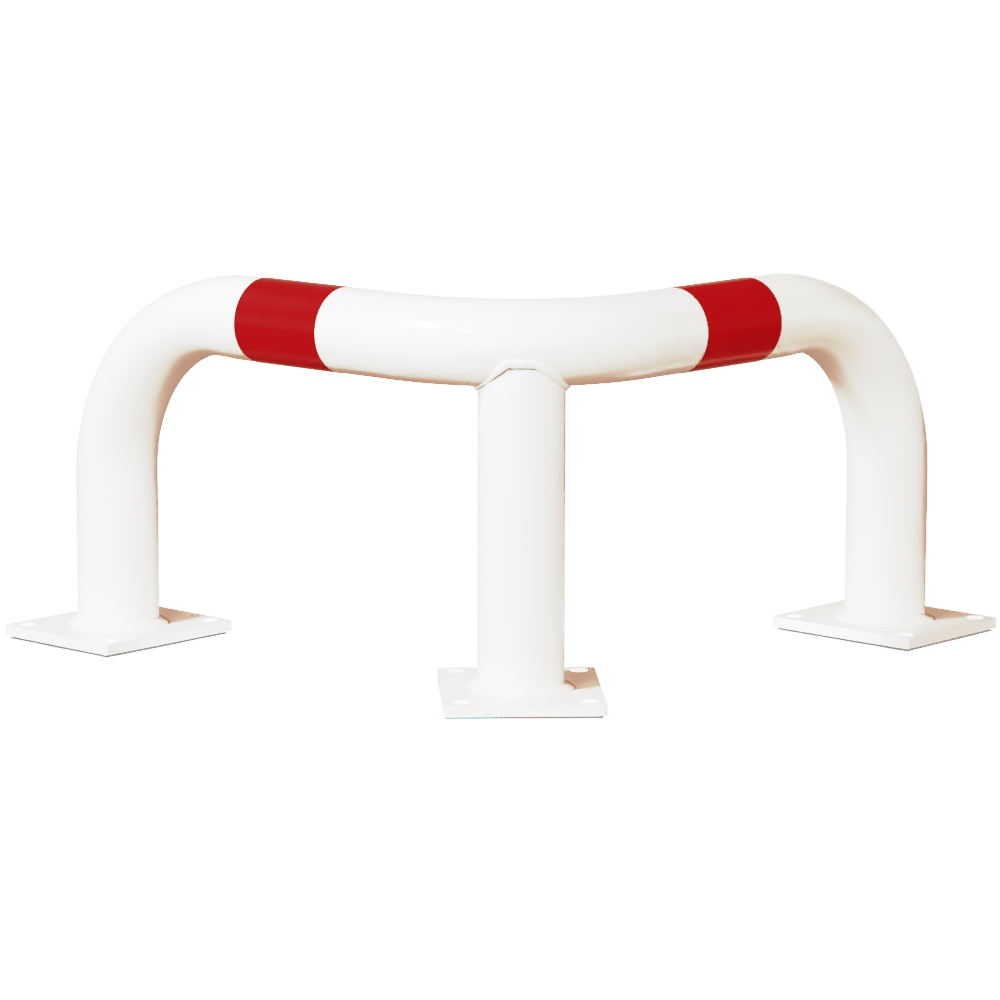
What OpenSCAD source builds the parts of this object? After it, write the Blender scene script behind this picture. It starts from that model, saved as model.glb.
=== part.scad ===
// Corner impact guard: one bent steel tube on three welded base plates.
// The arms run along +X and +Y. The origin is on the corner post's axis, at the floor.

/* [Tube] */
// Outside diameter of the round steel tube
tube_d = 76; // [60:1:88]
// Wall thickness of the tube
tube_wall = 3; // [2:0.5:5]

/* [Rail] */
// Height from the floor to the top of the rail
guard_h = 350; // [300:5:600]
// Length of each arm, from where the arms' centre lines cross to the end post's axis
arm_l = 510; // [450:5:900]
// Centreline radius of the bend between the two arms
corner_bend_r = 145; // [120:1:160]
// Centreline radius of the bend from each arm down into its end post
arch_bend_r = 160; // [120:1:170]

/* [Corner post] */
// Distance that the post stands inside the middle of the corner bend
post_setback = 3; // [1:0.5:5]
// Height from the top of the post's coped end up to the rail's centreline
cope_drop = 10; // [8:0.5:14]

/* [Base plates] */
// Thickness of each base plate
plate_t = 10; // [6:1:15]
// Long side of a base plate
plate_l = 160; // [150:1:200]
// Short side of a base plate
plate_w = 140; // [130:1:150]
// Radius of the rounded edges and corners of a base plate
plate_edge_r = 1.5; // [0.5:0.5:2.5]

/* [Anchor holes] */
// Diameter of an anchor hole
hole_d = 16; // [12:1:18]
// Distance between hole centres along a plate's long side
hole_pitch_l = 130; // [120:1:135]
// Distance between hole centres along a plate's short side
hole_pitch_w = 110; // [100:1:115]

/* [Welds] */
// Width of a foot weld on its base plate
foot_weld_w = 9; // [5:0.5:10]
// Height of a foot weld on its post
foot_weld_h = 7; // [4:0.5:10]
// Rise of a foot weld's face above the straight line between its toes
foot_weld_crown = 1; // [0.5:0.25:1.5]
// Radius of the weld bead round the top of the corner post
saddle_bead_r = 5; // [4:0.25:6]

/* [Red bands] */
// Width of each red band along its arm
band_w = 100; // [50:5:120]
// Thickness of the red adhesive film
band_t = 0.4; // [0.2:0.1:1]
// Place of the right arm's band: share of the straight part's free length left on its corner side
right_band_share = 0.495; // [0:0.005:1]
// Place of the left arm's band, as the right one's
left_band_share = 0.655; // [0:0.005:1]

/* [Hidden] */
paint = [0.93, 0.93, 0.92];
film = [0.73, 0.08, 0.1];
tube_r = tube_d / 2;
rail_z = guard_h - tube_r;
leg_h = rail_z - arch_bend_r - plate_t;
straight_l = arm_l - corner_bend_r - arch_bend_r;
// Length of an arm's straight part that its band leaves free
free_l = straight_l - band_w;
// Distance of each arm's centreline from the corner post's axis, to a thousandth of a millimetre,
// so that bends and straight lengths meet on the same circle
arm_offset = round(1000 * (corner_bend_r * (sqrt(2) - 1) + post_setback) / sqrt(2)) / 1000;
end_x = arm_l - arm_offset;
// Centre of the corner bend, the same along X and Y
bend_c = corner_bend_r - arm_offset;
// Steps round the post and sides of the saddle bead
bead_steps = 48;
bead_sides = 10;
// Rounding, in square millimetres, where the saddle seam meets the post's flat top
seam_blend = 100;
$fn = 96;
// Finer facets for the seats that the saddle bead is cut to
seat_fn = 200;

// The left arm's side is the right arm's, mirrored across the corner's diagonal
module left_side()
    mirror([1, -1, 0])
        children();

module tube_section()
    difference() {
        circle(tube_r);
        circle(tube_r - tube_wall);
    }

module straight_tube(length)
    linear_extrude(length)
        tube_section();

module corner_bend()
    translate([bend_c, bend_c, rail_z])
        rotate([0, 0, 180])
            rotate_extrude(angle = 90)
                translate([corner_bend_r, 0])
                    children();

module arch_bend()
    translate([end_x - arch_bend_r, -arm_offset, rail_z - arch_bend_r])
        rotate([90, 0, 0])
            rotate_extrude(angle = 90)
                translate([arch_bend_r, 0])
                    children();

// A place on the right arm's centreline, x from the corner post's axis, with Z along the arm
module on_arm(x)
    translate([x, -arm_offset, rail_z])
        rotate([0, 90, 0])
            children();

module half_rail() {
    on_arm(bend_c)
        straight_tube(straight_l);
    arch_bend()
        tube_section();
    translate([end_x, -arm_offset, plate_t])
        straight_tube(leg_h);
}

module rail_tube()
    color(paint) {
        corner_bend()
            tube_section();
        half_rail();
        left_side()
            half_rail();
    }

module corner_post()
    color(paint)
        difference() {
            translate([0, 0, plate_t])
                straight_tube(rail_z - cope_drop - plate_t);
            corner_bend()
                circle(tube_r);
        }

module rounded_rect(a, b)
    union() {
        square([a - 2 * plate_edge_r, b], center = true);
        square([a, b - 2 * plate_edge_r], center = true);
        for (x = [-1, 1], y = [-1, 1])
            translate([x * (a / 2 - plate_edge_r), y * (b / 2 - plate_edge_r)])
                circle(plate_edge_r);
    }

// A plate with its long side along Y and rounded edges all round
module plate_body()
    translate([0, 0, plate_t / 2])
        intersection() {
            linear_extrude(plate_t, center = true)
                rounded_rect(plate_w, plate_l);
            rotate([90, 0, 0])
                linear_extrude(plate_l, center = true)
                    rounded_rect(plate_w, plate_t);
            rotate([90, 0, 90])
                linear_extrude(plate_w, center = true)
                    rounded_rect(plate_l, plate_t);
        }

module base_plate()
    color(paint)
        difference() {
            plate_body();
            for (x = [-1, 1], y = [-1, 1])
                translate([x * hole_pitch_w / 2, y * hole_pitch_l / 2, -plate_t])
                    cylinder(d = hole_d, h = 3 * plate_t);
        }

module corner_base_plate()
    rotate([0, 0, 135])
        base_plate();

module right_base_plate()
    translate([end_x, -arm_offset, 0])
        base_plate();

module left_base_plate()
    left_side()
        right_base_plate();

// A fillet between post and plate, whose face is an arc through both toes
module foot_weld() {
    chord = norm([foot_weld_w, foot_weld_h]);
    face_r = (chord * chord / 4 + foot_weld_crown * foot_weld_crown) / (2 * foot_weld_crown);
    inset = face_r - foot_weld_crown;
    color(paint)
        translate([0, 0, plate_t])
            rotate_extrude()
                intersection() {
                    translate([tube_r, 0])
                        square([foot_weld_w, foot_weld_h]);
                    translate([
                        tube_r + foot_weld_w / 2 - inset * foot_weld_h / chord,
                        foot_weld_h / 2 - inset * foot_weld_w / chord
                    ])
                        circle(face_r);
                }
}

module corner_foot_weld()
    foot_weld();

module right_foot_weld()
    translate([end_x, -arm_offset, 0])
        foot_weld();

module left_foot_weld()
    left_side()
        right_foot_weld();

// Depth of the seam below the rail's centreline, squared, blended into the flat top of the post
function seam_depth(room) =
    let (flat = cope_drop * cope_drop)
    sqrt((room + flat + sqrt(pow(room - flat, 2) + pow(seam_blend, 2))) / 2);

// Point of the seam at an angle round the corner post
function seam_point(a) =
    let (
        p = [tube_r * cos(a), tube_r * sin(a)],
        off = norm(p - [bend_c, bend_c]) - corner_bend_r
    )
    [p.x, p.y, rail_z - seam_depth(tube_r * tube_r - off * off)];

function unit(v) = v / norm(v);

// Ring of the bead, square to the seam
function bead_ring(a) =
    let (
        step = 360 / bead_steps / 4,
        along = unit(seam_point(a + step) - seam_point(a - step)),
        out = unit([cos(a), sin(a), 0] - ([cos(a), sin(a), 0] * along) * along),
        up = cross(along, out)
    )
    [for (k = [0 : bead_sides - 1])
        let (t = 360 * k / bead_sides)
        seam_point(a) + saddle_bead_r * (cos(t) * out + sin(t) * up)];

module saddle_bead() {
    points = [for (i = [0 : bead_steps - 1]) each bead_ring(360 * i / bead_steps)];
    faces = [
        for (i = [0 : bead_steps - 1], k = [0 : bead_sides - 1])
            let (
                j = (i + 1) % bead_steps,
                m = (k + 1) % bead_sides
            )
            each [
                [i * bead_sides + k, i * bead_sides + m, j * bead_sides + k],
                [i * bead_sides + m, j * bead_sides + m, j * bead_sides + k]
            ]
    ];
    polyhedron(points, faces);
}

module corner_saddle_weld()
    color(paint)
        difference() {
            saddle_bead();
            corner_bend($fn = seat_fn)
                circle(tube_r);
            translate([0, 0, plate_t])
                cylinder(r = tube_r, h = rail_z - cope_drop - plate_t, $fn = seat_fn);
        }

module band()
    linear_extrude(band_w)
        difference() {
            circle(tube_r + band_t);
            circle(tube_r);
        }

module right_band()
    color(film)
        on_arm(bend_c + right_band_share * free_l)
            band();

module left_band()
    color(film)
        left_side()
            on_arm(bend_c + left_band_share * free_l)
                band();

rail_tube();
corner_post();
corner_base_plate();
right_base_plate();
left_base_plate();
corner_foot_weld();
right_foot_weld();
left_foot_weld();
corner_saddle_weld();
right_band();
left_band();
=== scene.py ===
import math

import bmesh
import bpy
from mathutils import Matrix, Vector


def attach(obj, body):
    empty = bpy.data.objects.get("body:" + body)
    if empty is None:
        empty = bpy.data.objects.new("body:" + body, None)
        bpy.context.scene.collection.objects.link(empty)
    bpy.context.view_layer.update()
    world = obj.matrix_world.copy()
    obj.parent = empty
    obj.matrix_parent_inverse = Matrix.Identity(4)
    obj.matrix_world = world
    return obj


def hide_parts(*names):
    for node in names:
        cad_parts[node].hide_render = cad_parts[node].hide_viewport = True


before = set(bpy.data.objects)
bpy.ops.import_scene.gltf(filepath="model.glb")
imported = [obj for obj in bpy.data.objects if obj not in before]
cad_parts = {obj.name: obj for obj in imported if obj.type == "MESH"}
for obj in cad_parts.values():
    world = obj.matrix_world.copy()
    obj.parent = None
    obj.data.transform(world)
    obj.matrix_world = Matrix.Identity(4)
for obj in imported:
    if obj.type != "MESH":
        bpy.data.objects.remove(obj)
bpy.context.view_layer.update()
mm = 0.001
samePoint = 0.0001 * mm  # points of a mesh that are closer are one

# sizes that more than one piece shares, as in the CAD source
guard = {
    "tubeRadius": 38 * mm,
    "railHeight": 312 * mm,  # floor to the rail's centreline
    "armOffset": 44.591 * mm,  # corner post's axis to each arm's centreline
    "endPost": 465.409 * mm,  # corner post's axis to an end post, along its arm
    "cornerRadius": 145 * mm,
    "archRadius": 160 * mm,
    "plateTop": 10 * mm,
    "postTop": 10 * mm,  # rail's centreline down to the flat part of the cope
}
bendCentre = guard["cornerRadius"] - guard["armOffset"]


class Wire:
    # one output of a node; maths on it adds Math nodes to its tree

    def __init__(self, tree, socket):
        self.tree = tree
        self.socket = socket

    def node(self, kind, settings=None, sockets=None, output=0):
        return addNode(self.tree, kind, settings, sockets, output)

    def maths(self, operation, *others):
        return self.node("ShaderNodeMath", {"operation": operation}, dict(enumerate((self, *others))))

    def reflected(self, operation, other):
        return self.node("ShaderNodeMath", {"operation": operation}, {0: other, 1: self})

    def __add__(self, other):
        return self.maths("ADD", other)

    def __radd__(self, other):
        return self.reflected("ADD", other)

    def __sub__(self, other):
        return self.maths("SUBTRACT", other)

    def __rsub__(self, other):
        return self.reflected("SUBTRACT", other)

    def __mul__(self, other):
        return self.maths("MULTIPLY", other)

    def __rmul__(self, other):
        return self.reflected("MULTIPLY", other)

    def __truediv__(self, other):
        return self.maths("DIVIDE", other)

    def __rtruediv__(self, other):
        return self.reflected("DIVIDE", other)

    def __pow__(self, other):
        return self.maths("POWER", other)

    def __rpow__(self, other):
        return self.reflected("POWER", other)

    def __neg__(self):
        return self.maths("MULTIPLY", -1)

    def __gt__(self, other):
        return self.maths("GREATER_THAN", other)

    def __lt__(self, other):
        return self.maths("LESS_THAN", other)


def addNode(tree, kind, settings=None, sockets=None, output=0):
    node = tree.nodes.new(kind)
    for name, value in (settings or {}).items():
        if name == "items":
            while len(node.index_switch_items) < value:
                node.index_switch_items.new()
        else:
            setattr(node, name, value)
    for name, value in (sockets or {}).items():
        if isinstance(value, Wire):
            tree.links.new(value.socket, node.inputs[name])
        else:
            node.inputs[name].default_value = value
    return Wire(tree, node.outputs[output])


def smoothStep(wire, low, high):
    return wire.node(
        "ShaderNodeMapRange", {"interpolation_type": "SMOOTHSTEP"},
        {"Value": wire, "From Min": low, "From Max": high},
    )


# of a Mix node, inputs 6 and 7 and output 2 are the colours
def mixColour(tree, share, first, second):
    return addNode(
        tree, "ShaderNodeMix", {"data_type": "RGBA"}, {"Factor": share, 6: first, 7: second}, 2,
    )


# noise at a detail of 2, unless Detail says otherwise; a value for W makes it four-dimensional
def noise(tree, place, scale, **others):
    settings = {"noise_dimensions": "4D"} if "W" in others else None
    sockets = {"Vector": place, "Scale": scale, "Detail": 2.0, **others}
    return addNode(tree, "ShaderNodeTexNoise", settings, sockets)


def parts(vector):
    split = vector.node("ShaderNodeSeparateXYZ", None, {"Vector": vector})
    return [Wire(vector.tree, socket) for socket in split.socket.node.outputs]


def vectorMaths(operation, vector, other=None, output=0):
    sockets = {0: vector} if other is None else {0: vector, 1: other}
    return vector.node("ShaderNodeVectorMath", {"operation": operation}, sockets, output)


def distance(place, spot):
    return vectorMaths("DISTANCE", place, spot, 1)


def attribute(tree, name, kind="FLOAT"):
    return addNode(tree, "GeometryNodeInputNamedAttribute", {"data_type": kind}, {"Name": name})


def storeOnPoints(tree, geometry, attributes):
    for name, kind, value in attributes:
        geometry = addNode(
            tree, "GeometryNodeStoreNamedAttribute", {"data_type": kind, "domain": "POINT"},
            {"Geometry": geometry, "Name": name, "Value": value},
        )
    return geometry


# a tree with named inputs, its values given once and then put on the modifier by identifier
def startTree(name, values):
    tree = bpy.data.node_groups.new(name, "GeometryNodeTree")
    tree.interface.new_socket("Geometry", in_out="INPUT", socket_type="NodeSocketGeometry")
    tree.interface.new_socket("Geometry", in_out="OUTPUT", socket_type="NodeSocketGeometry")
    kinds = {int: "NodeSocketInt", float: "NodeSocketFloat"}
    for label, value in values.items():
        tree.interface.new_socket(label, in_out="INPUT", socket_type=kinds[type(value)])
    tree.interface.new_socket("Material", in_out="INPUT", socket_type="NodeSocketMaterial")
    start = tree.nodes.new("NodeGroupInput")
    return tree, {s.name: Wire(tree, s) for s in start.outputs if s.name}


def endTree(tree, geometry, inputs, extraMaterial=None, where=None):
    real = addNode(tree, "GeometryNodeRealizeInstances", None, {"Geometry": geometry})
    smooth = addNode(tree, "GeometryNodeSetShadeSmooth", None, {"Geometry": real})
    painted = addNode(
        tree, "GeometryNodeSetMaterial", None, {"Geometry": smooth, "Material": inputs["Material"]},
    )
    if extraMaterial:
        painted = addNode(
            tree, "GeometryNodeSetMaterial", None,
            {"Geometry": painted, "Selection": where, "Material": extraMaterial},
        )
    end = tree.nodes.new("NodeGroupOutput")
    tree.links.new(painted.socket, end.inputs[0])
    return tree


def addObject(name, data):
    made = bpy.data.objects.new(name, data)
    bpy.context.scene.collection.objects.link(made)
    return made


# a piece of the guard from its mesh, with doubled points merged and its faces outward
def addPiece(name, mesh, material=None):
    mesh.name = name
    if material:
        mesh.materials.append(material)
        mesh.polygons.foreach_set("use_smooth", [True] * len(mesh.polygons))
    piece = addObject(name, mesh)
    body = bmesh.new()
    body.from_mesh(mesh)
    bmesh.ops.remove_doubles(body, verts=body.verts, dist=samePoint)
    if body.calc_volume(signed=True) < 0:
        bmesh.ops.reverse_faces(body, faces=body.faces)
    body.to_mesh(mesh)
    body.free()
    return piece


# runs a tree on a base mesh and keeps the result as a plain mesh
def bakeTree(tree, name, values, material, base=None):
    holder = addObject(name + "Holder", base or bpy.data.meshes.new(name + "Base"))
    modifier = holder.modifiers.new(name, "NODES")
    modifier.node_group = tree
    for item in tree.interface.items_tree:
        if item.in_out != "INPUT" or item.socket_type == "NodeSocketGeometry":
            continue
        modifier[item.identifier] = material if item.name == "Material" else values[item.name]
    bpy.context.view_layer.update()
    graph = bpy.context.evaluated_depsgraph_get()
    mesh = bpy.data.meshes.new_from_object(holder.evaluated_get(graph), depsgraph=graph)
    bpy.data.objects.remove(holder)
    return addPiece(name, mesh)


# a value for each point of a mesh, under a name
def markPoints(mesh, name, values, kind="FLOAT", field="value"):
    mesh.attributes.new(name, kind, "POINT").data.foreach_set(field, values)


# rings of equal length as one closed skin: the last ring joins the first, or each end gets a point
def skin(name, rings, material, joined=False):
    sides = len(rings[0])
    points = [p for ring in rings for p in ring]
    faces = []
    for i in range(len(rings) if joined else len(rings) - 1):
        j = (i + 1) % len(rings)
        for k in range(sides):
            m = (k + 1) % sides
            faces.append((i * sides + k, i * sides + m, j * sides + m, j * sides + k))
    if not joined:
        for ring, first in ((rings[0], 0), (rings[-1], (len(rings) - 1) * sides)):
            middle = len(points)
            points.append(sum((Vector(p) for p in ring), Vector()) / sides)
            for k in range(sides):
                pair = (first + k, first + (k + 1) % sides)
                faces.append((pair[1], pair[0], middle) if first == 0 else (*pair, middle))
    mesh = bpy.data.meshes.new(name)
    mesh.from_pydata(points, [], faces)
    mesh.validate()
    return addPiece(name, mesh, material)


# Materials: white powder coat, red film, and dark strips of painted shade
def startMaterial(name):
    material = bpy.data.materials.new(name)
    material.use_nodes = True
    tree = material.node_tree
    shader = next(n for n in tree.nodes if n.type == "BSDF_PRINCIPLED")
    place = addNode(tree, "ShaderNodeTexCoord", output="Object")
    return material, tree, shader, place


def feed(tree, shader, values):
    for name, value in values.items():
        if isinstance(value, Wire):
            tree.links.new(value.socket, shader.inputs[name])
        else:
            shader.inputs[name].default_value = value


def bumpNode(tree, height, depth):
    return addNode(tree, "ShaderNodeBump", None, {"Height": height, "Strength": 1.0, "Distance": depth})


paint = {
    "colour": (0.875, 0.873, 0.862, 1),
    "warm": (0.862, 0.852, 0.828, 1),  # slow drift of the coat's tone
    "patch": 6.0,  # scale of the drift, per metre, as the scales below
    "patchEdge": (0.35, 0.75),  # noise at which a patch begins and is full, as the edges below
    "peel": 420.0,  # orange peel
    "peelDepth": 0.05 * mm,
    "dust": 900.0,
    "dustEdge": (0.72, 0.8),
    "dustColour": (0.6, 0.57, 0.52, 1),
    "dustShare": 0.25,
    "dustHeight": 0.4,
    "lumps": 130.0,  # unevenness of a painted weld
    "roughness": 0.34,
    "patchRoughness": 0.08,
    "dustRoughness": 0.15,
    "coat": 0.25,
    "coatRoughness": 0.12,
    "ior": 1.5,
}


# peel is the height of the orange peel, flow that of the lumps
def powderCoat(name, peel=1.0, flow=0.0):
    material, tree, shader, place = startMaterial(name)
    drift = noise(tree, place, paint["patch"], Detail=3.0)
    fine = noise(tree, place, paint["peel"])
    specks = smoothStep(noise(tree, place, paint["dust"], Detail=1.0), *paint["dustEdge"])
    tone = mixColour(tree, smoothStep(drift, *paint["patchEdge"]), paint["colour"], paint["warm"])
    height = fine * peel + specks * paint["dustHeight"]
    if flow:
        height = height + noise(tree, place, paint["lumps"]) * flow
    roughness = paint["roughness"] + drift * paint["patchRoughness"]
    feed(tree, shader, {
        "Base Color": mixColour(tree, specks * paint["dustShare"], tone, paint["dustColour"]),
        "Roughness": roughness + specks * paint["dustRoughness"],
        "Normal": bumpNode(tree, height, paint["peelDepth"]),
        "Coat Weight": paint["coat"], "Coat Roughness": paint["coatRoughness"], "IOR": paint["ior"],
    })
    return material


film = {
    "colour": (0.2, 0.013, 0.016, 1),
    "deep": (0.187, 0.011, 0.0135, 1),
    "cut": (0.035, 0.004, 0.006, 1),  # painted shade along each cut edge
    "patch": 18.0,  # scale of the drift from colour to deep, per metre
    "patchEdge": (0.3, 0.7),
    "grain": 260.0,
    "grainDepth": 0.02 * mm,
    "roughness": 0.16,
    "patchRoughness": 0.06,
    "gloss": 0.045,  # specular level, low for this matt film
}


def redFilm(name):
    material, tree, shader, place = startMaterial(name)
    drift = noise(tree, place, film["patch"], Detail=3.0)
    fine = noise(tree, place, film["grain"], Detail=1.0)
    colour = mixColour(tree, smoothStep(drift, *film["patchEdge"]), film["colour"], film["deep"])
    # a darker line of painted shade along each cut edge of the film
    cut = addNode(tree, "ShaderNodeAttribute", {"attribute_name": "cutEdge"}, output="Fac")
    feed(tree, shader, {
        "Base Color": mixColour(tree, cut, colour, film["cut"]),
        "Roughness": film["roughness"] + drift * film["patchRoughness"],
        "Normal": bumpNode(tree, fine, film["grainDepth"]),
        "Specular IOR Level": film["gloss"],
    })
    return material


# dark strips of painted shade: the one in the open toe of the saddle weld, which comes out grey in the
# picture, and the thin lines along the shaded outline of the foot welds, each with its darker and its
# lighter tone
shadeStrip = {
    "saddleToeShade": ((0.12, 0.4, 0.46, 1), (0.16, 0.45, 0.5, 1)),
    "footShadeLine": ((0.025, 0.012, 0.009, 1), (0.05, 0.022, 0.015, 1)),
    "patch": 300.0,
    "patchEdge": (0.35, 0.65),
    "roughness": 0.8,
    "gloss": 0.2,
}


def shadeStripMaterial(name):
    material, tree, shader, place = startMaterial(name)
    drift = smoothStep(noise(tree, place, shadeStrip["patch"]), *shadeStrip["patchEdge"])
    feed(tree, shader, {
        "Base Color": mixColour(tree, drift, *shadeStrip[name]),
        "Roughness": shadeStrip["roughness"], "Specular IOR Level": shadeStrip["gloss"],
    })
    return material


tubePaint = powderCoat("tubePaint")
platePaint = powderCoat("platePaint", peel=1.2)
weldPaint = powderCoat("weldPaint", flow=3.0)
bandFilm = redFilm("bandFilm")
saddleToeShade = shadeStripMaterial("saddleToeShade")
footShadeLine = shadeStripMaterial("footShadeLine")
print("materials made")


# The bent tube: one path from foot to foot, filleted at the three bends, that a circle follows
rail = {
    "endPost": guard["endPost"],
    "armOffset": guard["armOffset"],
    "railHeight": guard["railHeight"],
    "foot": 9.5 * mm,  # half a millimetre inside the plate
    "tubeRadius": guard["tubeRadius"],
    "cornerRadius": guard["cornerRadius"],
    "archRadius": guard["archRadius"],
    "bendSteps": 48,
    "ringStep": 4 * mm,
    "sides": 128,
    "flattening": 0.1055,  # how much the bent tube flattens in the plane of an arch bend
    "widening": 0.5,  # share of that by which it widens across
    "flattenLead": 14 * mm,  # how far before the bend it starts
    "flattenRamp": 62 * mm,
}


def railTree():
    tree, size = startTree("bentTube", rail)
    index = addNode(tree, "GeometryNodeInputIndex")
    side = -size["armOffset"]
    corners = [
        (size["endPost"], side, size["foot"]), (size["endPost"], side, size["railHeight"]),
        (side, side, size["railHeight"]),
        (side, size["endPost"], size["railHeight"]), (side, size["endPost"], size["foot"]),
    ]
    sockets = {"Index": index}
    for i, corner in enumerate(corners):
        sockets[str(i)] = addNode(tree, "ShaderNodeCombineXYZ", None, dict(zip("XYZ", corner)))
    line = addNode(tree, "GeometryNodeMeshLine", None, {"Count": len(corners)})
    place = addNode(
        tree, "GeometryNodeIndexSwitch", {"data_type": "VECTOR", "items": len(corners)}, sockets,
    )
    bent = addNode(tree, "GeometryNodeSetPosition", None, {"Geometry": line, "Position": place})
    curve = addNode(tree, "GeometryNodeMeshToCurve", None, {"Mesh": bent})
    atCorner = index.maths("COMPARE", len(corners) // 2, 0.5)
    radius = size["archRadius"] + atCorner * (size["cornerRadius"] - size["archRadius"])
    path = addNode(
        tree, "GeometryNodeFilletCurve", {"mode": "POLY"},
        {"Curve": curve, "Count": size["bendSteps"], "Radius": radius},
    )
    path = addNode(
        tree, "GeometryNodeResampleCurve", {"mode": "LENGTH"},
        {"Curve": path, "Length": size["ringStep"]},
    )
    # distance from the nearer foot, and how flat the tube is there
    along = addNode(tree, "GeometryNodeSplineParameter", output="Length")
    whole = addNode(tree, "GeometryNodeCurveLength", None, {"Curve": path})
    reach = along.maths("MINIMUM", whole - along)
    first = size["railHeight"] - size["archRadius"] - size["foot"] - size["flattenLead"]
    last = first + size["archRadius"] * (math.pi / 2) + size["flattenLead"] * 2
    flat = (
        smoothStep(reach, first, first + size["flattenRamp"])
        * (1 - smoothStep(reach, last - size["flattenRamp"], last))
        * size["flattening"]
    )
    centre = addNode(tree, "GeometryNodeInputPosition")
    path = storeOnPoints(
        tree, path, (("pathCentre", "FLOAT_VECTOR", centre), ("flatness", "FLOAT", flat)),
    )
    section = addNode(
        tree, "GeometryNodeCurvePrimitiveCircle", None,
        {"Resolution": size["sides"], "Radius": size["tubeRadius"]},
    )
    tube = addNode(
        tree, "GeometryNodeCurveToMesh", None,
        {"Curve": path, "Profile Curve": section, "Fill Caps": True},
    )
    # the bent tube is pressed flat in the plane of the bend and bulges across it
    flat = attribute(tree, "flatness")
    x, y, z = parts(centre)
    cx, cy, cz = parts(attribute(tree, "pathCentre", "FLOAT_VECTOR"))
    onRight = cx > cy
    inPlane = 1 - flat
    across = 1 + flat * size["widening"]
    newPlace = addNode(tree, "ShaderNodeCombineXYZ", None, {
        "X": cx + (x - cx) * (across + onRight * (inPlane - across)),
        "Y": cy + (y - cy) * (inPlane + onRight * (across - inPlane)),
        "Z": cz + (z - cz) * inPlane,
    })
    shaped = addNode(tree, "GeometryNodeSetPosition", None, {"Geometry": tube, "Position": newPlace})
    return endTree(tree, shaped, size)


railPiece = bakeTree(railTree(), "railTube", rail, tubePaint)
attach(railPiece, "root")
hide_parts("rail_tube")
print("rail made")


# The corner post, with its top coped to the rail
post = {
    "sides": 128,
    "rings": 40,
    "foot": 9.5 * mm,  # as the rail's
    "seamBlend": 10 * mm,  # rounding where the seam meets the post's flat top
    "intoRail": 1.5 * mm,  # the top goes on inside the rail
}


# height of the seam of post and rail above a place on the post's outline
def seamHeight(x, y):
    off = math.hypot(x - bendCentre, y - bendCentre) - guard["cornerRadius"]
    room = guard["tubeRadius"] ** 2 - off ** 2
    top = guard["postTop"] ** 2
    blend = post["seamBlend"] ** 2
    depth = math.sqrt((room + top + math.hypot(room - top, blend)) / 2)
    return guard["railHeight"] - depth


def cornerPost():
    rings = []
    for i in range(post["rings"] + 1):
        share = i / post["rings"]
        ring = []
        for k in range(post["sides"]):
            turn = 2 * math.pi * k / post["sides"]
            x = guard["tubeRadius"] * math.cos(turn)
            y = guard["tubeRadius"] * math.sin(turn)
            top = seamHeight(x, y) + post["intoRail"]
            ring.append((x, y, post["foot"] + share * (top - post["foot"])))
        rings.append(ring)
    return skin("cornerPost", rings, tubePaint)


postPiece = cornerPost()
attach(postPiece, "root")
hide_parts("corner_post")
print("corner post made")


# The base plates, with rounded edges and four holes each
plate = {
    "long": 160 * mm,
    "short": 140 * mm,
    "thick": guard["plateTop"],
    "corner": 2.2 * mm,
    "cornerSteps": 4,
    "edge": 1.3 * mm,
    "edgeSteps": 4,
    "edgeAngle": 50,  # only edges that turn by more degrees are rounded
    "hole": 16 * mm,
    "holeSides": 48,
    "pitchLong": 130 * mm,
    "pitchShort": 110 * mm,
}


def arc(cx, cy, radius, first, last, steps):
    turns = [math.radians(first + (last - first) * k / steps) for k in range(steps + 1)]
    return [(cx + radius * math.cos(turn), cy + radius * math.sin(turn)) for turn in turns]


def basePlate(name, centre, turn):
    body = bmesh.new()
    r = plate["corner"]
    x, y = plate["short"] / 2 - r, plate["long"] / 2 - r
    outline = []
    for cx, cy, first in ((x, y, 0), (-x, y, 90), (-x, -y, 180), (x, -y, 270)):
        outline += arc(cx, cy, r, first, first + 90, plate["cornerSteps"])
    loops = [outline]
    for sx in (-1, 1):
        for sy in (-1, 1):
            cx, cy = sx * plate["pitchShort"] / 2, sy * plate["pitchLong"] / 2
            loops.append(arc(cx, cy, plate["hole"] / 2, 0, 360, plate["holeSides"])[:-1])
    edges = []
    for loop in loops:
        ring = [body.verts.new((x, y, 0)) for x, y in loop]
        edges += [body.edges.new((ring[k], ring[(k + 1) % len(ring)])) for k in range(len(ring))]
    bmesh.ops.triangle_fill(body, use_beauty=True, use_dissolve=False, edges=edges)
    made = bmesh.ops.extrude_face_region(body, geom=list(body.faces))
    raised = [v for v in made["geom"] if isinstance(v, bmesh.types.BMVert)]
    bmesh.ops.translate(body, vec=(0, 0, plate["thick"]), verts=raised)
    bmesh.ops.recalc_face_normals(body, faces=body.faces)
    body.transform(Matrix.Translation(centre) @ Matrix.Rotation(math.radians(turn), 4, "Z"))
    mesh = bpy.data.meshes.new(name)
    body.to_mesh(mesh)
    body.free()
    piece = addPiece(name, mesh, platePaint)
    rounding = piece.modifiers.new("roundedEdges", "BEVEL")
    rounding.width = plate["edge"]
    rounding.segments = plate["edgeSteps"]
    rounding.limit_method = "ANGLE"
    rounding.angle_limit = math.radians(plate["edgeAngle"])
    piece.modifiers.new("flatFaces", "WEIGHTED_NORMAL")
    return piece


# each plate's centre, and the degrees by which its long side is turned from +Y
plateSpots = {
    "right": ((guard["endPost"], -guard["armOffset"], 0), 0),
    "left": ((-guard["armOffset"], guard["endPost"], 0), 90),
    "corner": ((0.0, 0.0, 0), 135),
}
for spot, (centre, turn) in plateSpots.items():
    piece = basePlate(spot + "BasePlate", centre, turn)
    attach(piece, "root")
    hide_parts(spot + "_base_plate")
print("base plates made")


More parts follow.
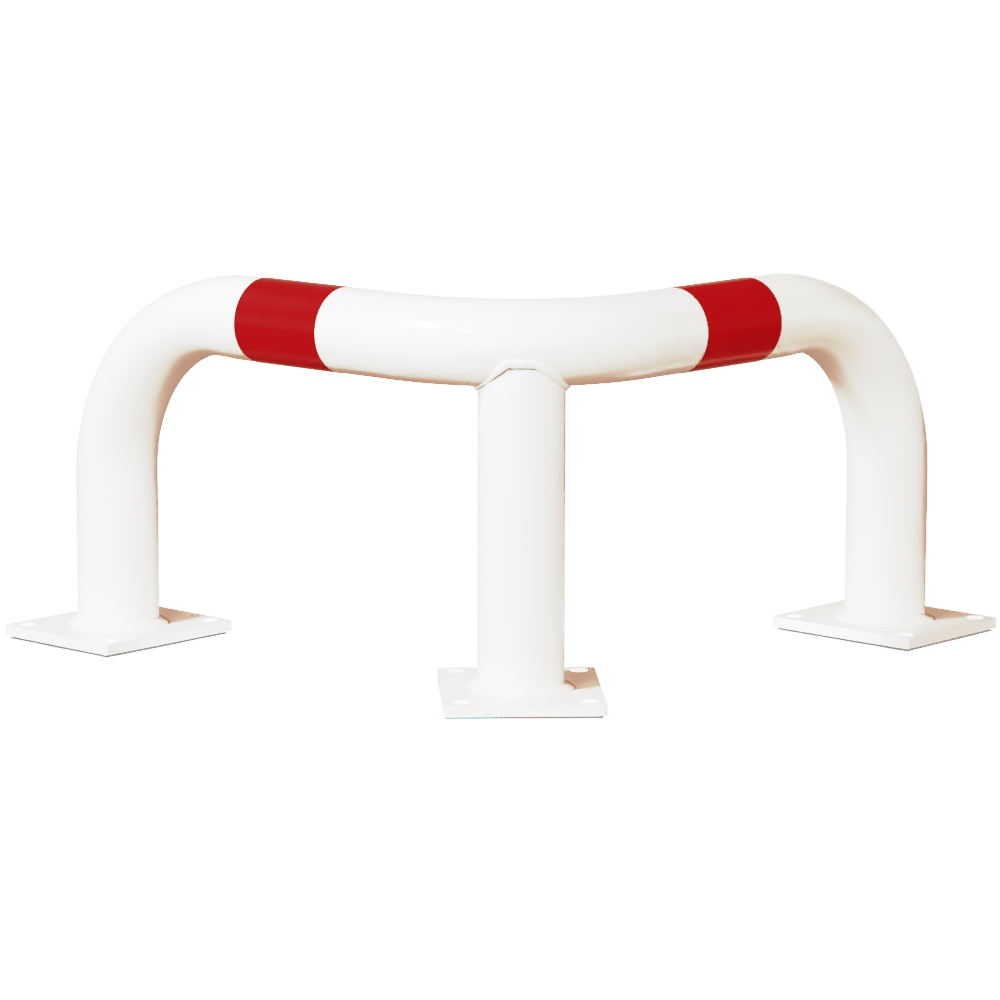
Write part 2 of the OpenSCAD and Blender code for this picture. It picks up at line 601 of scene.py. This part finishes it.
# The foot welds: a fillet whose toes wander and whose face has the beads of a hand weld
footWeld = {
    "around": 240,
    "across": 32,
    "merge": 0.01 * mm,  # points that are closer are one, where the skin meets itself
    "centreX": 0.0,
    "centreY": 0.0,
    "height": guard["plateTop"],
    "tubeRadius": guard["tubeRadius"],
    "width": 9 * mm,
    "rise": 7 * mm,
    "wander": 0.48,  # share of the width by which the toes wander, where the noise swings by 1
    "wanderScale": 2.6,
    "climbScale": 3.4,  # of the wandering of the upper toe
    "climbBend": 0.4,
    "ripple": 0.14 * mm,
    "rippleCount": 46.0,
    "rippleLean": 1.2,  # by how much the ripples lean back
    "rippleWander": 30.0,
    "fullness": 1.55,  # 1 is a quarter ellipse, 2 is a flat face
    "crackTurn": 0.0,  # radians from +X of the shaded side, where the painted shade line runs
    "crackSag": 0.0,  # share of the rise by which the weld sags there
    "crackReach": 0.6,  # radians from the shaded side to where the sag ends
    "crackFacets": 8,
    "seed": 1.0,
}


# a dark line of painted shade runs down the shaded side of each foot weld, along its outline: the degrees
# from
# +X of that side and the share by which the weld sags there, with the weld's seed
weldSpots = {"right": (-53, 0.5, 1.0), "left": (-43, 0.15, 4.7), "corner": (-48, 0.4, 8.4)}
# along the painted shade line, degrees from that side, degrees of lean on the weld's face, and girth
shadeLineCourse = (
    (3, 92, 0.3), (1, 78, 0.55), (-1, 62, 0.75), (-2, 45, 0.75), (-2, 28, 0.75), (-3, 14, 0.75),
    (-5, 6, 0.65), (-8, 4, 0.4), (-12, 3, 0.2),
)


# the painted shade line in the weld's own measures, turn and lean, which the tree lays on its face
def shadeLinePath(crackTurn):
    mesh = bpy.data.meshes.new("shadeLinePath")
    points = [((crackTurn + turn) / 360, lean / 360, 0) for turn, lean, girth in shadeLineCourse]
    mesh.from_pydata(points, [(k, k + 1) for k in range(len(points) - 1)], [])
    markPoints(mesh, "girth", [girth * mm for turn, lean, girth in shadeLineCourse])
    markPoints(mesh, "isGap", [1.0] * len(points))
    return mesh


def footWeldTree():
    tree, size = startTree("filletWeld", footWeld)
    grid = addNode(
        tree, "GeometryNodeMeshGrid", None,
        {"Size X": 1.0, "Size Y": 1.0, "Vertices X": size["around"], "Vertices Y": size["across"]},
    )
    # the grid's two ways are the turn round the post and the lean from the lower toe to the upper
    u, v = parts(addNode(tree, "GeometryNodeInputPosition"))[:2]
    turn = u * (2 * math.pi)
    lean = v * (2 * math.pi)
    cosTurn, sinTurn = turn.maths("COSINE"), turn.maths("SINE")
    cosLean, sinLean = lean.maths("COSINE"), lean.maths("SINE")
    spot = addNode(tree, "ShaderNodeCombineXYZ", None, {"X": cosTurn, "Y": sinTurn, "Z": size["seed"]})
    wander = noise(tree, spot, size["wanderScale"]) - 0.5
    climb = noise(tree, spot, size["climbScale"], Distortion=size["climbBend"]) - 0.5
    wave = turn * size["rippleCount"] + sinLean * size["rippleLean"] + wander * size["rippleWander"]

    def power(wire):
        return wire.maths("SIGN") * wire.maths("ABSOLUTE") ** size["fullness"]

    radial = size["width"] * (1 + wander * size["wander"]) * power(cosLean)
    fromShadeSide = (turn - size["crackTurn"]).maths("ABSOLUTE")
    sag = size["crackSag"] * (1 - smoothStep(fromShadeSide, 0.0, size["crackReach"]))
    up = size["rise"] * (1 - sag) * (1 + climb * size["wander"]) * power(sinLean)
    # the ripples are full halfway up the face and fade towards both toes
    crest = cosLean.maths("MAXIMUM", 0.0) * sinLean.maths("MAXIMUM", 0.0) * 2
    swell = size["ripple"] * wave.maths("SINE") * crest
    r = size["tubeRadius"] + radial + swell
    laid = addNode(tree, "ShaderNodeCombineXYZ", None, {
        "X": size["centreX"] + r * cosTurn,
        "Y": size["centreY"] + r * sinTurn,
        "Z": size["height"] + up + swell,
    })
    shaped = addNode(tree, "GeometryNodeSetPosition", None, {"Geometry": grid, "Position": laid})
    merged = addNode(
        tree, "GeometryNodeMergeByDistance", None, {"Geometry": shaped, "Distance": size["merge"]},
    )
    # a thin dark tube on the weld's outline on its shaded side: painted shade
    line = addNode(
        tree, "GeometryNodeSetPosition", None, {"Geometry": size["Geometry"], "Position": laid},
    )
    curve = addNode(tree, "GeometryNodeMeshToCurve", None, {"Mesh": line})
    section = addNode(
        tree, "GeometryNodeCurvePrimitiveCircle", None,
        {"Resolution": size["crackFacets"], "Radius": 1.0},
    )
    shadeLine = addNode(tree, "GeometryNodeCurveToMesh", None, {
        "Curve": curve, "Profile Curve": section, "Fill Caps": True, "Scale": attribute(tree, "girth"),
    })
    both = addNode(tree, "GeometryNodeJoinGeometry", None, {"Geometry": merged})
    tree.links.new(shadeLine.socket, both.socket.node.inputs["Geometry"])
    return endTree(tree, both, size, footShadeLine, attribute(tree, "isGap") > 0.5)


filletTree = footWeldTree()
for spot, (crackTurn, crackSag, seed) in weldSpots.items():
    centreX, centreY = plateSpots[spot][0][:2]
    values = dict(footWeld, centreX=centreX, centreY=centreY, seed=seed)
    values.update(crackTurn=math.radians(crackTurn), crackSag=crackSag)
    piece = bakeTree(filletTree, spot + "FootWeld", values, weldPaint, shadeLinePath(crackTurn))
    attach(piece, "root")
    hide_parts(spot + "_foot_weld")
print("foot welds made")


# The saddle weld: a flat bead that follows the seam of post and rail. In front it strays above the seam,
# and its lower toe stays open there as a thin gap, in which a dark strip paints the gap's shade.
saddle = {
    "width": 4.4 * mm,  # half the bead's width on the surface, at full girth
    "height": 2.4 * mm,  # its rise above the seam, at full girth
    "step": 0.8 * mm,
    "sides": 24,
    "wander": 1.4 * mm,  # swing of its surface, where the noise swings by 1
    "wanderScale": 55.0,
    "ripple": 0.12 * mm,
    "pitch": 4.2 * mm,  # from ripple to ripple
    "rippleWander": 9.0,
    "seed": 4.0,
}
seam = {
    "front": 222.1,  # degrees from +X of the side of the post that faces the camera
    "steps": 240,
    "gapSteps": 102,
    "gapLift": 0.25 * mm,  # the centre line of the strip of painted shade lies outside the post's skin by this much
}
# degrees round the post from its front, millimetres by which the bead strays up, and its girth
beadCourse = (
    (-180, 0, 0.9), (-105, 0, 1.3), (-86, 0, 1.5), (-72, -0.6, 0.55), (-57, 0.6, 0.45), (-47, 2.2, 0.5),
    (-38, 4.4, 0.66), (-32, 5.7, 0.82), (-26, 6.7, 0.92), (-18, 6.6, 0.9), (-8, 3.2, 1.0), (0, 2.1, 1.0),
    (10, 2.2, 0.9), (17, 2.9, 0.85), (25, 3.3, 0.85), (40, 2.2, 0.9), (62, 0.6, 0.9), (78, 0, 1.1),
    (90, 0, 1.5), (104, 0, 1.3), (180, 0, 0.9),
)
# degrees from the front and millimetres above the floor of the dark strip of painted shade in the open toe,
# and its girth
gapCourse = (
    (-76, 273.0, 0.035), (-70, 273.9, 0.045), (-59, 276.9, 0.05), (-48, 280.7, 0.055), (-39, 284.3, 0.06),
    (-30, 288.2, 0.065), (-23, 291.7, 0.07), (-18, 294.0, 0.085), (-14, 293.7, 0.075), (-8, 293.3, 0.075),
    (0, 293.6, 0.07), (8, 293.9, 0.075), (15, 293.7, 0.09), (20, 293.2, 0.16), (23, 293.4, 0.14),
    (26, 294.0, 0.035),
)


# a course's value in a column, between its rows
def onCourse(course, place, column):
    for low, high in zip(course, course[1:]):
        if place <= high[0]:
            share = (place - low[0]) / (high[0] - low[0])
            return low[column] + (high[column] - low[column]) * share
    return course[-1][column]


def fromPost(fromFront, radius):
    turn = math.radians(seam["front"] + fromFront)
    return radius * math.cos(turn), radius * math.sin(turn)


# a point of the bead's line: the seam, moved up round the rail where the bead strays
def seamPoint(fromFront):
    x, y = fromPost(fromFront, guard["tubeRadius"])
    spoke = Vector((x - bendCentre, y - bendCentre, 0)).normalized()
    centre = Vector((bendCentre, bendCentre, guard["railHeight"])) + spoke * guard["cornerRadius"]
    lift = onCourse(beadCourse, fromFront, 1) * mm / guard["tubeRadius"]
    axis = spoke.cross(Vector((0, 0, 1))).normalized()
    offset = Matrix.Rotation(lift, 3, axis) @ (Vector((x, y, seamHeight(x, y))) - centre)
    way = Vector((*fromPost(fromFront, 1), 0))
    return centre + offset, (way + offset.normalized()).normalized()


def gapPoint(fromFront):
    way = Vector((*fromPost(fromFront, 1), 0))
    height = onCourse(gapCourse, fromFront, 1) * mm
    return way * (guard["tubeRadius"] + seam["gapLift"]) + Vector((0, 0, height)), way


# the bead and the painted shade strip in its open toe as two lines, with their normals and girths
def seamPath():
    count, gapSteps = seam["steps"], seam["gapSteps"]
    first, last = gapCourse[0][0], gapCourse[-1][0]
    beadTurns = [-180 + 360 * k / count for k in range(count)]
    gapTurns = [first + (last - first) * k / gapSteps for k in range(gapSteps + 1)]
    made = [seamPoint(turn) for turn in beadTurns] + [gapPoint(turn) for turn in gapTurns]
    edges = [(k, (k + 1) % count) for k in range(count)]
    edges += [(count + k, count + k + 1) for k in range(gapSteps)]
    mesh = bpy.data.meshes.new("seamPath")
    mesh.from_pydata([point for point, away in made], edges, [])
    girths = [onCourse(beadCourse, turn, 2) for turn in beadTurns]
    girths += [onCourse(gapCourse, turn, 2) for turn in gapTurns]
    markPoints(mesh, "away", [c for point, away in made for c in away], "FLOAT_VECTOR", "vector")
    markPoints(mesh, "girth", girths)
    markPoints(mesh, "isGap", [0.0] * len(beadTurns) + [1.0] * len(gapTurns))
    return mesh


def saddleTree():
    tree, size = startTree("saddleBead", saddle)
    curve = addNode(tree, "GeometryNodeMeshToCurve", None, {"Mesh": size["Geometry"]})
    curve = addNode(
        tree, "GeometryNodeResampleCurve", {"mode": "LENGTH"}, {"Curve": curve, "Length": size["step"]},
    )
    curve = addNode(
        tree, "GeometryNodeSetCurveNormal", {"mode": "FREE"},
        {"Curve": curve, "Normal": attribute(tree, "away", "FLOAT_VECTOR")},
    )
    along = addNode(tree, "GeometryNodeSplineParameter", output="Length")
    centre = addNode(tree, "GeometryNodeInputPosition")
    curve = storeOnPoints(
        tree, curve, (("seamCentre", "FLOAT_VECTOR", centre), ("seamLength", "FLOAT", along)),
    )
    section = addNode(
        tree, "GeometryNodeCurvePrimitiveCircle", None, {"Resolution": size["sides"], "Radius": 1.0},
    )
    flat = addNode(
        tree, "ShaderNodeCombineXYZ", None, {"X": size["height"], "Y": size["width"], "Z": 1.0},
    )
    section = addNode(tree, "GeometryNodeTransform", None, {"Geometry": section, "Scale": flat})
    bead = addNode(tree, "GeometryNodeCurveToMesh", None, {
        "Curve": curve, "Profile Curve": section, "Fill Caps": True, "Scale": attribute(tree, "girth"),
    })
    middle = attribute(tree, "seamCentre", "FLOAT_VECTOR")
    isGap = attribute(tree, "isGap")
    wander = noise(tree, middle, size["wanderScale"], W=size["seed"]) - 0.5
    wave = attribute(tree, "seamLength") / size["pitch"] * (2 * math.pi) + wander * size["rippleWander"]
    outward = vectorMaths("NORMALIZE", vectorMaths("SUBTRACT", centre, middle))
    swell = wander * size["wander"] + wave.maths("SINE") * size["ripple"]
    offset = addNode(
        tree, "ShaderNodeVectorMath", {"operation": "SCALE"},
        {0: outward, "Scale": swell * (1 - isGap)},
    )
    shaped = addNode(tree, "GeometryNodeSetPosition", None, {"Geometry": bead, "Offset": offset})
    # the open toe's strip gets the dark material that paints its shade
    return endTree(tree, shaped, size, saddleToeShade, isGap > 0.5)


saddlePiece = bakeTree(saddleTree(), "cornerSaddleWeld", saddle, weldPaint, seamPath())
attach(saddlePiece, "root")
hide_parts("corner_saddle_weld")
print("saddle weld made")


# The red films, wrapped round the arms with a lap
band = {
    "film": 0.3 * mm,
    "lap": 16,  # degrees of the film that lie double
    "lapLift": 0.3,  # share of the film's thickness by which the lap stands up
    "intoTube": 0.1 * mm,  # the film's inner face lies inside the tube's skin
    "sides": 180,
    "rings": 24,
    "cut": 0.9 * mm,  # width of the painted shade along a cut edge
    "cutFull": 0.6,  # share of that width that is fully dark
    "sharpAngle": 60,
}
# start from the corner post's axis, width, the way along the arm, and degrees to the lap
bandSpots = {
    "right": (151.8 * mm, 102.6 * mm, (1, 0, 0), -30),
    "left": (169.184 * mm, 100 * mm, (0, 1, 0), 194),
}


def redBand(name, start, direction, width, lapTurn):
    direction = Vector(direction)
    up = Vector((0, 0, 1))
    side = up.cross(direction)

    def ring(place, radii):
        return [
            Vector(start) + direction * place + (side * math.cos(turn) + up * math.sin(turn)) * radius
            for turn, radius in radii
        ]

    outer, inner = [], []
    for k in range(band["sides"]):
        turn = 2 * math.pi * k / band["sides"]
        fromLap = (math.degrees(turn) - lapTurn) % 360
        lift = band["film"] * (band["lapLift"] if fromLap < band["lap"] else 0)
        outer.append((turn, guard["tubeRadius"] + band["film"] + lift))
        inner.append((turn, guard["tubeRadius"] - band["intoTube"]))
    cut = band["cut"]
    inside = [cut + (width - 2 * cut) * i / band["rings"] for i in range(band["rings"] + 1)]
    full = cut * band["cutFull"]
    places = [0, full, *inside, width - full, width]
    rings = [ring(place, outer) for place in places] + [ring(width, inner), ring(0, inner)]
    # 1 on the rings that carry the painted edge shade: two at each end outside, and the two inside
    edges = [1.0, 1.0] + [0.0] * len(inside) + [1.0] * 4
    piece = skin(name, rings, bandFilm, True)
    markPoints(piece.data, "cutEdge", [edge for edge in edges for point in outer])
    split = piece.modifiers.new("sharpEdges", "EDGE_SPLIT")
    split.split_angle = math.radians(band["sharpAngle"])
    return piece


for name, (place, width, direction, lapTurn) in bandSpots.items():
    start = [place if way else -guard["armOffset"] for way in direction[:2]] + [guard["railHeight"]]
    piece = redBand(name + "Band", start, direction, width, lapTurn)
    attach(piece, "root")
    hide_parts(name + "_band")
print("bands made")


# The camera, where the photograph was taken from
camera = {
    "place": (-2.727136, -2.439038, 0.794761),
    "heading": 42.0999,  # degrees from +X towards +Y
    "down": 9.62406,  # degrees below level
    "roll": 0.151634,
    "lens": 154.28,
    "sensor": 36,
    "clipEnd": 200,
}


def addCamera():
    data = bpy.data.cameras.new("photoCamera")
    data.sensor_width = camera["sensor"]
    data.lens = camera["lens"]
    data.clip_end = camera["clipEnd"]
    eye = addObject("photoCamera", data)
    turn = (
        Matrix.Rotation(math.radians(camera["heading"] - 90), 4, "Z")
        @ Matrix.Rotation(math.radians(90 - camera["down"]), 4, "X")
        @ Matrix.Rotation(math.radians(camera["roll"]), 4, "Z")
    )
    eye.matrix_world = Matrix.Translation(camera["place"]) @ turn
    bpy.context.scene.camera = eye


addCamera()


# The stage and its light
stage = {
    "white": (1, 1, 1, 1),
    "black": (0, 0, 0, 1),
    "floorGlow": 1.95,
    "floorSize": 78,
    "domeRadius": 40,
    "domeSides": (48, 24),
    # the thin lines of shade in front of the plates: their tone, which comes out grey in the
    # picture, each plate's extra turn and the line's width, and how much that width varies
    "lineColour": (0.048, 0.168, 0.19, 1),
    "lines": {"corner": (-1, 9 * mm), "left": (0, 12.5 * mm), "right": (0, 12.5 * mm)},
    "lineScale": 25.0,
    "lineWidths": (0.8, 1.2),
    "underPlate": 2 * mm,  # how far inside a plate's edge its shade begins
    "bounceSize": 6,
    "bounceGlow": 0.225,
    "bounceRadius": (0.7, 0.95),
    "bounceCentre": (0.16, 0.16, 0),
    "bouncePower": 4.0,  # the bounce floor's strength where its glow is full
    "cornerStripGlow": 0.4,  # what the floor in front of these two plates adds
    "leftStripGlow": 0.3,
    "stripShift": 70 * mm,
    # floor under the arch bends, on their inner side, with what it adds
    "archSpots": ((-0.02, 0.375, 0.85), (0.355, -0.02, 1.2)),
    "archReach": (0.03, 0.12),
    "holeGlow": 2.0,  # what the floor under the anchor holes adds
    "aim": (0.12, 0.12, 0.18),
    "lampDistance": 2.3,
    # the sky: each way's strength on the left and on the right, the way to the front, and the
    # shares of that way, of the way to the left and of the rise at which the strengths change
    "skyFront": (2.75, 2.0),
    "skyBack": (0.34, 0.7),
    "skyMidFront": (0.75, 0.72),
    "skyMidBack": (0.3, 0.13),
    "skyHigh": 0.15,
    "skyWay": (-1.05, -0.95),
    "frontEdge": (-0.2, 0.12),
    "leftEdge": (-0.2, 0.2),
    "midRise": (0.22, 0.3),
    "highRise": (0.64, 0.76),
}
# heading and rise in degrees, power, shape, width and height
lamps = {
    "keyLight": (167, 42, 29.5, "ELLIPSE", 0.4, 0.4),
    "fillLight": (195, 34, 7.5, "ELLIPSE", 0.3, 0.3),
    "windowLight": (107, 36, 4.6, "RECTANGLE", 1.6, 0.75),
    "backLight": (47, -1, 18, "RECTANGLE", 1.2, 0.2),
}
# the scene's light on the left, and the picture's red, green and blue
tones = (
    (0.01, 0.003, 0.0045, 0.0055), (0.02, 0.006, 0.0075, 0.009), (0.03, 0.015, 0.0125, 0.0125),
    (0.05, 0.05, 0.05, 0.03), (0.09, 0.22, 0.11, 0.07), (0.13, 0.45, 0.17, 0.12),
    (0.17, 0.485, 0.205, 0.16), (0.22, 0.495, 0.24, 0.19), (0.29, 0.503, 0.29, 0.21),
    (0.36, 0.53, 0.325, 0.228), (0.41, 0.61, 0.40, 0.31), (0.44, 0.665, 0.53, 0.46),
    (0.48, 0.745, 0.698, 0.635), (0.57, 0.816, 0.803, 0.78), (0.68, 0.853, 0.846, 0.833),
    (0.8, 0.872, 0.865, 0.856), (1.0, 0.909, 0.907, 0.907), (1.4, 0.949, 0.95, 0.952),
)
toneWhite = 1.9  # the light at which a channel is full


# a material that only glows
def stageMaterial(name):
    material, tree, shader, place = startMaterial(name)
    feed(tree, shader, {
        "Base Color": stage["black"], "Roughness": 1.0, "Specular IOR Level": 0.0,
        "Emission Color": stage["white"], "Emission Strength": stage["floorGlow"],
    })
    return material, tree, shader, place


# distances of a floor place from the middle lines of a plate that is moved and turned
def fromMiddle(place, spot, shift=(0, 0), extraTurn=0):
    centre, turn = plateSpots[spot]
    x, y = parts(place)[:2]
    x, y = x - centre[0] - shift[0], y - centre[1] - shift[1]
    turn = math.radians(turn + extraTurn)
    across = x * math.cos(turn) + y * math.sin(turn)
    along = y * math.cos(turn) - x * math.sin(turn)
    return across.maths("ABSOLUTE"), along.maths("ABSOLUTE")


def inFootprint(place, spot, shift=(0, 0), extraTurn=0):
    across, along = fromMiddle(place, spot, shift, extraTurn)
    halfShort = plate["short"] / 2 - stage["underPlate"]
    halfLong = plate["long"] / 2 - stage["underPlate"]
    return (across < halfShort) * (along < halfLong)


def inHoles(place, spot):
    across, along = fromMiddle(place, spot)
    across, along = across - plate["pitchShort"] / 2, along - plate["pitchLong"] / 2
    return (across * across + along * along) ** 0.5 < plate["hole"] / 2


def towardsCamera(spot):
    return (Vector(camera["place"]) - Vector(plateSpots[spot][0])).xy.normalized()


# the floor that the camera sees, with a thin line of shade in front of each plate
def floorMaterial(name):
    material, tree, shader, place = stageMaterial(name)
    least, most = stage["lineWidths"]
    # the painted shade line's width, varied by noise
    lineSpread = least + noise(tree, place, stage["lineScale"]) * (most - least)
    shaded = None
    for spot, (turn, width) in stage["lines"].items():
        way = towardsCamera(spot)
        reach = width * lineSpread
        line = inFootprint(place, spot, (reach * way.x, reach * way.y), turn)
        line = line * (1 - inFootprint(place, spot))
        shaded = shaded.maths("MAXIMUM", line) if shaded else line
    colour = mixColour(tree, shaded, stage["white"], stage["lineColour"])
    feed(tree, shader, {"Emission Color": colour})
    return material


# the floor that lights the guard, brighter in front of two plates, under the arch bends and under
# the anchor holes
def bounceMaterial(name):
    material, tree, shader, place = stageMaterial(name)
    cornerStrip = inFootprint(place, "corner", towardsCamera("corner") * stage["stripShift"])
    leftStrip = inFootprint(place, "left", (-stage["stripShift"], 0))
    glow = cornerStrip * stage["cornerStripGlow"] + leftStrip * stage["leftStripGlow"] + stage["bounceGlow"]
    for x, y, strength in stage["archSpots"]:
        glow = glow + (1 - smoothStep(distance(place, (x, y, 0)), *stage["archReach"])) * strength
    for spot in plateSpots:
        glow = glow + inHoles(place, spot) * stage["holeGlow"]
    fade = 1 - smoothStep(distance(place, stage["bounceCentre"]), *stage["bounceRadius"])
    colour = mixColour(tree, fade * glow / stage["bouncePower"], stage["black"], stage["white"])
    feed(tree, shader, {"Emission Color": colour, "Emission Strength": stage["bouncePower"]})
    return material


# a stage piece is either seen by the camera or lights the guard, never both
def addStage(name, mesh, material, seen):
    mesh.materials.append(material)
    piece = addObject(name, mesh)
    piece.visible_camera = seen
    for way in ("diffuse", "glossy", "transmission", "shadow"):
        setattr(piece, "visible_" + way, not seen)


def addPlane(name, size, material, seen):
    mesh = bpy.data.meshes.new(name)
    half = size / 2
    corners = [(-half, -half, 0), (half, -half, 0), (half, half, 0), (-half, half, 0)]
    mesh.from_pydata(corners, [], [(0, 1, 2, 3)])
    addStage(name, mesh, material, seen)


def addDome(name, radius, material):
    body = bmesh.new()
    around, up = stage["domeSides"]
    bmesh.ops.create_uvsphere(body, u_segments=around, v_segments=up, radius=radius)
    bmesh.ops.reverse_faces(body, faces=body.faces)
    mesh = bpy.data.meshes.new(name)
    body.to_mesh(mesh)
    body.free()
    addStage(name, mesh, material, True)


# a studio that is bright low down in front, and dimmer behind and above
def addSky():
    world = bpy.data.worlds.new("studio")
    bpy.context.scene.world = world
    world.use_nodes = True
    tree = world.node_tree
    back = next(n for n in tree.nodes if n.type == "BACKGROUND")
    way = addNode(tree, "ShaderNodeTexCoord", output="Generated")
    x, y, z = parts(way)
    frontX, frontY = stage["skyWay"]
    front = smoothStep(x * frontX + y * frontY, *stage["frontEdge"])
    onLeft = smoothStep(y - x, *stage["leftEdge"])

    def sides(name):
        left, right = stage[name]
        return right + onLeft * (left - right)

    low = sides("skyBack") + front * (sides("skyFront") - sides("skyBack"))
    mid = sides("skyMidBack") + front * (sides("skyMidFront") - sides("skyMidBack"))
    light = low + smoothStep(z, *stage["midRise"]) * (mid - low)
    light = light + smoothStep(z, *stage["highRise"]) * (stage["skyHigh"] - light)
    feed(tree, back, {"Color": stage["white"], "Strength": light})


def addLamp(name, heading, rise, power, shape, width, height):
    data = bpy.data.lights.new(name, "AREA")
    data.shape = shape
    data.size, data.size_y = width, height
    data.energy = power
    lamp = addObject(name, data)
    turn, rise = math.radians(heading), math.radians(rise)
    way = Vector((math.cos(turn) * math.cos(rise), math.sin(turn) * math.cos(rise), math.sin(rise)))
    lamp.matrix_world = (
        Matrix.Translation(Vector(stage["aim"]) + way * stage["lampDistance"])
        @ way.to_track_quat("Z", "Y").to_matrix().to_4x4()
    )
    return lamp


# the photograph's hard grade: whites held together, shadows brown
def gradePicture():
    view = bpy.context.scene.view_settings
    view.view_transform = "Standard"
    view.use_curve_mapping = True
    mapping = view.curve_mapping
    mapping.white_level = (toneWhite, toneWhite, toneWhite)
    for channel in range(3):
        points = mapping.curves[channel].points
        for row in tones:
            points.new(row[0] / toneWhite, row[channel + 1])
        for point in points:
            point.handle_type = "AUTO_CLAMPED"
    mapping.update()


addPlane("whiteFloor", stage["floorSize"], floorMaterial("whiteFloor"), True)
addPlane("bounceFloor", stage["bounceSize"], bounceMaterial("bounceFloor"), False)
addDome("whiteBackdrop", stage["domeRadius"], stageMaterial("whiteBackdrop")[0])
addSky()
for name, values in lamps.items():
    addLamp(name, *values).visible_glossy = name != "backLight"
gradePicture()
print("stage and light made")
